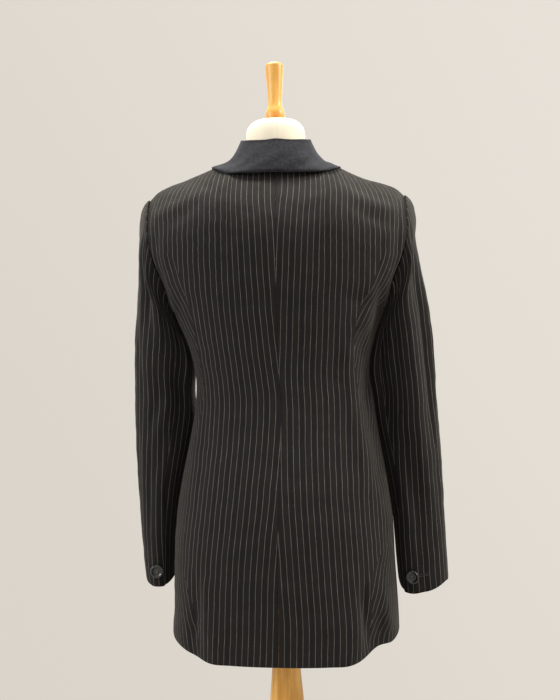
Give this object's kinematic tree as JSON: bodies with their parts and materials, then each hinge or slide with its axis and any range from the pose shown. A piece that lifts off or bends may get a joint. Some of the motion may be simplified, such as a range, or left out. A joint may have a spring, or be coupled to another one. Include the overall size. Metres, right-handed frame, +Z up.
{
  "type": "pinstripe blazer on a limbless dress form and stand",
  "caption": "Long fitted pinstripe blazer with a dark plain collar, hanging on a limbless dress form with a turned wooden stand.",
  "frame": {"origin": "centre of the stand's foot, on the floor", "axes": "+Z up, +Y out of the wearer's chest, so the back faces -Y; -X is the wearer's left"},
  "size_m": [0.5233, 0.38, 1.6802],
  "materials": {
    "pinstripe_cloth": "fine wool with pale dotted pinstripes",
    "collar_cloth": "plain napped cloth",
    "button": "polished, dished",
    "form_jersey": "smooth cream jersey",
    "pale_wood": "turned and varnished"
  },
  "bodies": {
    "root": {"back_left": "pinstripe_cloth", "back_right": "pinstripe_cloth", "front_left": "pinstripe_cloth", "front_right": "pinstripe_cloth", "lapel_left": "pinstripe_cloth", "lapel_right": "pinstripe_cloth", "sleeve_top_left": "pinstripe_cloth", "sleeve_top_right": "pinstripe_cloth", "sleeve_under_left": "pinstripe_cloth", "sleeve_under_right": "pinstripe_cloth", "collar": "collar_cloth", "cuff_button_left": "button", "cuff_button_right": "button", "front_button_1": "button", "front_button_2": "button", "front_button_3": "button", "form_torso": "form_jersey", "neck_plate": "pale_wood", "finial": "pale_wood", "pole": "pale_wood", "base": "pale_wood"}
  },
  "joints": []
}
